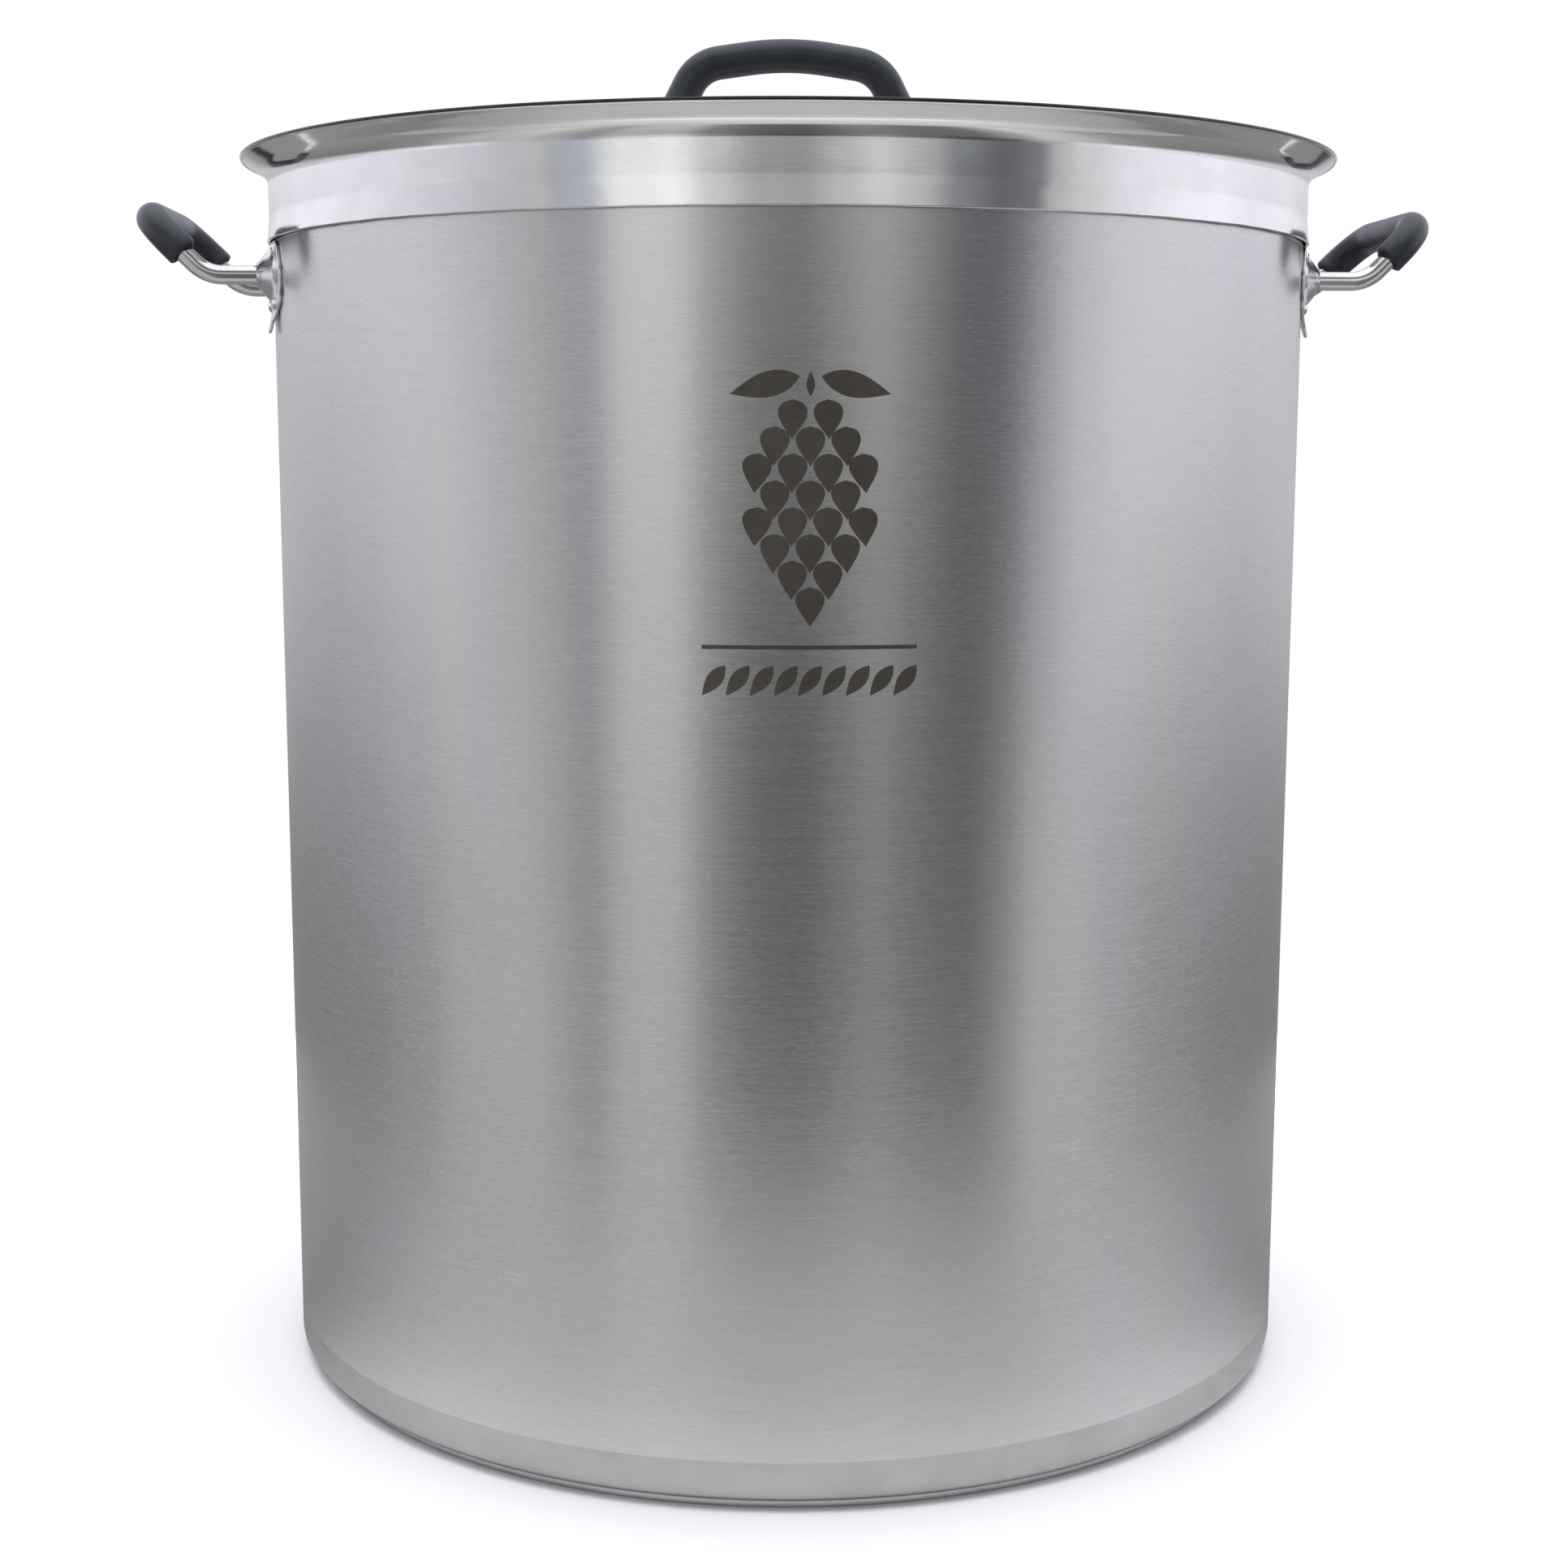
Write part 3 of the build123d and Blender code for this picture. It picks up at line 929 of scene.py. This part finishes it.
def foothold(body, name, seat, rod_axis, boss_tip, rivet_grip):
    """The lug that holds one leg of a handle, and its rivets."""
    plate = lug(f"{name}_plate", seat, rod_axis, boss_tip)
    place(plate, body, f"{name}_lug", "pressed_steel", lug_steel)
    heads = rivets(f"{name}_heads", seat, rivet_grip)
    place(heads, body, f"{name}_rivets", "rivet_steel", rivet_steel)


def side_handles():
    wall_x = body_radius * math.cos(math.asin((side_leg_offset + rod_radius) / body_radius))
    tilt = math.radians(side_tilt)
    inset = side_corner_radius + grip_end_run
    weld = (wall_x + side_weld_gap, side_leg_height)
    bend = (side_bar_reach - side_rise / math.tan(tilt), side_leg_height)
    bar = (side_bar_reach, side_leg_height + side_rise)
    mouth = (bar[0] - inset * math.cos(tilt), bar[1] - inset * math.sin(tilt))
    for side, hand in ((-1, "left"), (1, "right")):
        whole = side_route(side, [weld, bend, bar], [side_bend_radius, side_corner_radius], (0, 0, 1))
        covered = side_route(side, [mouth, bar], [side_corner_radius], (side, 0, 1))
        handle("kettle", hand, whole, covered, side_grip_radius)
        for end, spot in ((-1, "front"), (1, "rear")):
            tip = (side * side_boss_reach, end * side_leg_offset, side_leg_height)
            seat = side_lug_frame(side, end)
            foothold("kettle", f"{hand}_{spot}", seat, (side, 0, 0), tip, side_rivet_grip)


def lid_handle():
    handle("lid", "lid", lid_route(lid_foot_height), lid_route(lid_grip_start_height), lid_grip_radius)
    lean = math.radians(lid_leg_angle)
    for side, hand in ((-1, "left"), (1, "right")):
        leg_axis = (-side * math.cos(lean), 0, math.sin(lean))
        tip = (side * lid_leg_x(lid_boss_height), 0, lid_boss_height)
        foothold("lid", f"lid_{hand}", lid_lug_frame(side), leg_axis, tip, lid_rivet_grip)


# ---------- lid pan

crown_share = 0.999             # the crown's arc stops just short of the axis
bead_gap = 0.35                 # radians left open between the bead and the sheet that runs into it


def lid_pan():
    """The spun pan: domed crown, groove, step and flange, with a bead rolled up at its rim."""
    corners = [
        (0, lid_crown_height),
        (lid_crown_edge_radius / 2, lid_crown_height),
        (lid_groove_radius - lid_groove_lead_in, lid_groove_height + lid_groove_lead_drop),
        (lid_groove_radius, lid_groove_height),
        (lid_groove_radius, lid_step_height),
        (lid_flange_radius, lid_flange_height),
    ]
    bends = [crown_share * lid_crown_radius(), lid_groove_bend_radius, lid_groove_bend_radius]
    path = rounded_path(corners, bends + [lid_flange_bend_radius], 0.5, 12.0)
    thin = [path[0]]
    for point in path[1:]:
        if np.linalg.norm(point - thin[-1]) > 0.12:
            thin.append(point)
    thin[-1] = path[-1]
    path = np.array(thin)
    normals = left_normals(path)
    normals[0] = (0, 1)
    middle = path[-1] + np.array([0, lid_bead_radius])
    keep = [k for k, p in enumerate(path) if np.linalg.norm(p - middle) > lid_bead_radius + 0.25]
    outer = [path[k] for k in keep]
    inner = [path[k] + normals[k] * lid_wall for k in keep]
    away_low = math.atan2(*(outer[-1] - middle)[::-1])
    away_high = math.atan2(*(inner[-1] - middle)[::-1])
    sweep = (away_high - away_low) % (2 * math.pi)
    swings = away_low + np.linspace(bead_gap, sweep - bead_gap, 20)
    bead = [middle + lid_bead_radius * np.array([math.cos(s), math.sin(s)]) for s in swings]
    piece = skin("lid_spinning", lathe_rings(outer + bead + inner[::-1], 480), False)
    place(piece, "lid", "lid_pan", "lid_steel", pan_steel)


# ---------- emblem

mark_azimuth = -1.5             # degrees from -Y
mark_base = 314.0
mark_half_width = 39.5
mark_proud = 0.06
mark_sink = 0.25
mark_strip = 2.5                # the film is cut into upright strips, so that it can follow the wall


def leaf(x, y, length, half_width, angle, fullness=0.6):
    """A leaf from its broad end at the top to its point: angle 0 points straight down."""
    turn = math.radians(angle)
    side_points = []
    for k in range(1, 16):
        share = k / 16
        width = half_width * math.sin(math.pi * share**fullness)
        side_points.append((width, length * (0.5 - share)))
    points = [(0, length / 2)] + side_points + [(0, -length / 2)]
    points += [(-a, b) for a, b in reversed(side_points)]
    cosine, sine = math.cos(turn), math.sin(turn)
    return [(x + a * cosine - b * sine, y + a * sine + b * cosine) for a, b in points]


def mark_shapes():
    """A hop cone over a rule and a row of barley grains."""
    shapes = []
    pitch = 9.6
    cell = 13.0
    low = mark_base + 34.0
    for row, count in enumerate((1, 2, 3, 4, 3, 4, 3, 2)):
        for k in range(count):
            offset = k - (count - 1) / 2
            shapes.append(leaf(offset * cell, low + row * pitch, 14.2, cell * 0.41, offset * 4.0))
    top = low + 8 * pitch
    shapes.append(leaf(0, top + 3.0, 9.0, 1.5, 180, 0.9))
    for way in (-1, 1):
        shapes.append(leaf(way * 16.5, top + 2.5, 26.0, 4.6, way * 76, 0.8))
    side, rule = mark_half_width, mark_base + 18.5
    shapes.append([(-side, rule), (side, rule), (side, rule + 1.5), (-side, rule + 1.5)])
    grains = 9
    for k in range(grains):
        x = (k - (grains - 1) / 2) * mark_half_width * 2 / grains
        shapes.append(leaf(x, mark_base + 7.0, 14.0, 2.9, -38, 0.85))
    return shapes


def emblem():
    """The mark's film, thin and closed, laid on the wall."""
    sheet = bmesh.new()
    for shape in mark_shapes():
        sheet.faces.new([sheet.verts.new((x, y, -mark_sink)) for x, y in shape])
    for k in range(-20, 21):
        everything = sheet.verts[:] + sheet.edges[:] + sheet.faces[:]
        cut = (k * mark_strip, 0, 0)
        bmesh.ops.bisect_plane(sheet, geom=everything, plane_co=cut, plane_no=(1, 0, 0))
    bmesh.ops.recalc_face_normals(sheet, faces=sheet.faces)
    front = bmesh.ops.extrude_face_region(sheet, geom=sheet.faces[:])
    for thing in front["geom"]:
        if isinstance(thing, bmesh.types.BMVert):
            thing.co.z = mark_proud
    for vert in sheet.verts:
        azimuth = math.radians(mark_azimuth) + vert.co.x / body_radius
        radius = body_radius + vert.co.z
        vert.co = Vector((math.sin(azimuth) * radius, -math.cos(azimuth) * radius, vert.co.y)) * MM
    bmesh.ops.recalc_face_normals(sheet, faces=sheet.faces)
    mesh = bpy.data.meshes.new("etched_mark")
    sheet.to_mesh(mesh)
    sheet.free()
    place(add_object("etched_mark", mesh), "kettle", None, "brushed_body", mark_film)


# ---------- studio

def ramp(nodes, stops, position):
    """A colour ramp over the azimuth; a stop is (degrees from the front, brightness, tint)."""
    node = nodes.add("ShaderNodeValToRGB")
    node.color_ramp.interpolation = "EASE"
    elements = node.color_ramp.elements
    while len(elements) > 1:
        elements.remove(elements[-1])
    for index, (degrees, value, tint) in enumerate(stops):
        where = 0.5 + degrees / 360
        element = elements[0] if index == 0 else elements.new(where)
        element.position = where
        element.color = grey(value, tint)
    nodes.link(position, node.inputs[0])
    return node.outputs[0]


plain = (1.0, 0.99, 1.0)
cool = (0.93, 0.97, 1.08)
green = (0.975, 1.0, 0.985)
violet = (0.975, 0.97, 1.06)
warm = (1.01, 0.985, 0.995)

# What stands round the kettle a little above the horizon: soft boxes at both sides, and a darker
# gap in front with two bright strips in it
rim_level = [
    (-180, 0.75, plain), (-120, 1.2, violet), (-104, 1.12, violet), (-91, 1.0, violet),
    (-78, 0.82, violet), (-62, 0.72, violet), (-52, 0.66, plain), (-50, 0.56, cool), (-43, 0.62, cool),
    (-35, 1.18, green), (-24, 1.22, green), (-15, 0.8, green), (-6, 0.53, green), (3, 0.48, green),
    (12, 0.7, green), (19, 0.88, green), (27, 0.68, green), (36, 0.32, cool), (45, 0.19, cool),
    (54, 0.24, cool), (56, 0.6, plain), (65, 0.84, plain), (75, 1.02, violet), (88, 1.2, violet),
    (101, 1.3, violet), (120, 1.2, violet), (180, 0.75, plain),
]
# The same at the horizon
mid_level = [
    (-180, 0.5, plain), (-120, 0.74, violet), (-104, 0.86, violet), (-91, 1.02, violet),
    (-79, 1.08, plain), (-69, 0.9, violet), (-59, 0.68, plain), (-50, 0.55, plain), (-42, 0.42, cool),
    (-34, 0.84, green), (-24, 0.84, green), (-15, 0.32, green), (-6, 0.12, green), (3, 0.08, green),
    (11, 0.20, green), (19, 0.36, green), (27, 0.18, green), (37, 0.08, green), (46, 0.12, cool),
    (55, 0.5, cool), (65, 0.95, violet), (76, 1.15, violet), (88, 1.06, plain), (101, 0.95, violet),
    (120, 0.85, violet), (180, 0.5, plain),
]
# The same below the horizon
low_level = [
    (-180, 0.25, warm), (-125, 0.25, warm), (-103, 0.25, warm), (-88, 0.31, warm), (-72, 0.54, warm),
    (-58, 0.64, plain), (-50, 0.50, plain), (-42, 0.36, green), (-34, 0.58, green), (-24, 0.57, green),
    (-15, 0.25, green), (-6, 0.15, green), (3, 0.13, green), (19, 0.27, green), (29, 0.19, green),
    (40, 0.18, green), (48, 0.4, plain), (56, 0.70, plain), (65, 0.60, warm), (77, 0.38, warm),
    (90, 0.27, warm), (120, 0.23, warm), (180, 0.25, warm),
]
# High up, over the soft boxes and the camera
high_level = [
    (-180, 0.6, plain), (-120, 1.0, violet), (-62, 0.7, plain), (-46, 0.3, plain), (0, 0.10, plain),
    (42, 0.10, plain), (60, 0.6, plain), (100, 1.1, violet), (180, 0.6, plain),
]
ceiling = (1.35, 1.38, 1.45, 1.0)


def surroundings():
    """The studio that the steel reflects; the camera itself sees plain white behind the kettle."""
    world = bpy.data.worlds.new("studio")
    bpy.context.scene.world = world
    world.use_nodes = True
    nodes = Nodes(world.node_tree)
    x, y, z = nodes.split(nodes.add("ShaderNodeTexCoord").outputs["Generated"])
    azimuth = nodes.math("ARCTAN2", x, nodes.math("MULTIPLY", y, -1.0))
    turned = nodes.math("MULTIPLY_ADD", azimuth, 0.5 / math.pi, 0.5 + camera_azimuth / 360)
    position = nodes.math("FRACT", turned)
    lit = ramp(nodes, low_level, position)
    for start, end, level in ((-11, -1, mid_level), (2.5, 7, rim_level), (22, 34, high_level)):
        climb = nodes.spread(z, math.sin(math.radians(start)), math.sin(math.radians(end)), smooth=True)
        lit = nodes.mix(climb, lit, ramp(nodes, level, position))
    lit = nodes.mix(nodes.spread(z, 0.6, 0.9, smooth=True), lit, ceiling)
    seen = nodes.add("ShaderNodeBackground")
    seen.inputs["Color"].default_value = (1, 1, 1, 1)
    felt = nodes.add("ShaderNodeBackground")
    nodes.link(lit, felt.inputs["Color"])
    choose = nodes.add("ShaderNodeMixShader")
    nodes.link(nodes.add("ShaderNodeLightPath").outputs["Is Camera Ray"], choose.inputs[0])
    nodes.link(felt.outputs[0], choose.inputs[1])
    nodes.link(seen.outputs[0], choose.inputs[2])
    output = nodes.add("ShaderNodeOutputWorld")
    nodes.link(choose.outputs[0], output.inputs["Surface"])


table_radius = 620.0


def table():
    """A pale round table top with painted shade and glow: the camera sees it paler than the steel
    reflects it.
    """
    outline = [(0, 0)] + [(table_radius * (k / 24), 0) for k in range(1, 25)]
    outline += [(table_radius, -18), (0, -18)]
    piece = skin("table_top", lathe_rings(outline, 128), False)
    made, nodes = material("table_white")
    place_on = nodes.here()
    length = nodes.add("ShaderNodeVectorMath", operation="LENGTH")
    nodes.link(place_on, length.inputs[0])
    away = length.outputs["Value"]
    shader = nodes.surface(Roughness=0.6, Specular_IOR_Level=0.2, Emission_Color=(1, 1, 1, 1))
    seen = nodes.add("ShaderNodeLightPath").outputs["Is Camera Ray"]
    near = nodes.spread(away, 0.25, 0.35, smooth=True)
    far = nodes.spread(away, 0.33, 0.6, smooth=True)
    # Painted shade: in reflections the top is darker further out, and darker again towards the front,
    # standing in for the dim studio
    felt = nodes.mix(near, (0.74, 0.73, 0.73, 1.0), (0.45, 0.445, 0.445, 1.0))
    felt = nodes.mix(far, felt, (0.33, 0.325, 0.325, 1.0))
    ahead = nodes.math("MULTIPLY", nodes.split(place_on)[1], -1.0)
    front = nodes.spread(nodes.math("DIVIDE", ahead, away), -0.1, 0.75, smooth=True)
    felt = nodes.mix(front, (0.22, 0.216, 0.216, 1.0), felt)
    nodes.link(nodes.mix(seen, felt, (0.84, 0.845, 0.86, 1.0)), shader.inputs["Base Color"])
    # Painted light: further out the top glows for the camera, so that it fades into the white behind it
    glow = nodes.spread(away, 0.25, 0.5, 0.0, 0.35, smooth=True)
    nodes.link(nodes.math("MULTIPLY", glow, seen), shader.inputs["Emission Strength"])
    piece.data.materials.append(made)


def lights():
    """One wide soft light overhead, which shows in no reflection."""
    data = bpy.data.lights.new("overhead", "AREA")
    data.shape = "RECTANGLE"
    data.size = 2.6
    data.size_y = 2.2
    data.energy = 60
    data.color = (0.98, 0.99, 1.0)
    above = add_object("overhead", data)
    above.location = (0.0, -0.1, 2.4)
    aim = Vector((0, 0, 0.3)) - above.location
    above.rotation_euler = aim.to_track_quat("-Z", "Y").to_euler()
    above.visible_glossy = False


def camera():
    data = bpy.data.cameras.new("camera")
    data.lens = camera_lens
    data.sensor_width = 36.0
    data.clip_start = 0.02
    thing = add_object("camera", data)
    azimuth = math.radians(camera_azimuth)
    turn = Matrix.Rotation(math.radians(camera_yaw) - azimuth, 4, "Z")
    tip = Matrix.Rotation(math.radians(90 - camera_pitch), 4, "X")
    roll = Matrix.Rotation(math.radians(camera_roll), 4, "Z")
    where = (-camera_distance * math.sin(azimuth), -camera_distance * math.cos(azimuth), camera_height)
    thing.matrix_world = Matrix.Translation(where) @ turn @ tip @ roll
    bpy.context.scene.camera = thing


kettle_body()
rim_collar()
base_cap()
base_core()
side_handles()
lid_pan()
lid_handle()
emblem()
surroundings()
table()
lights()
camera()
bpy.context.scene.view_settings.view_transform = "Standard"
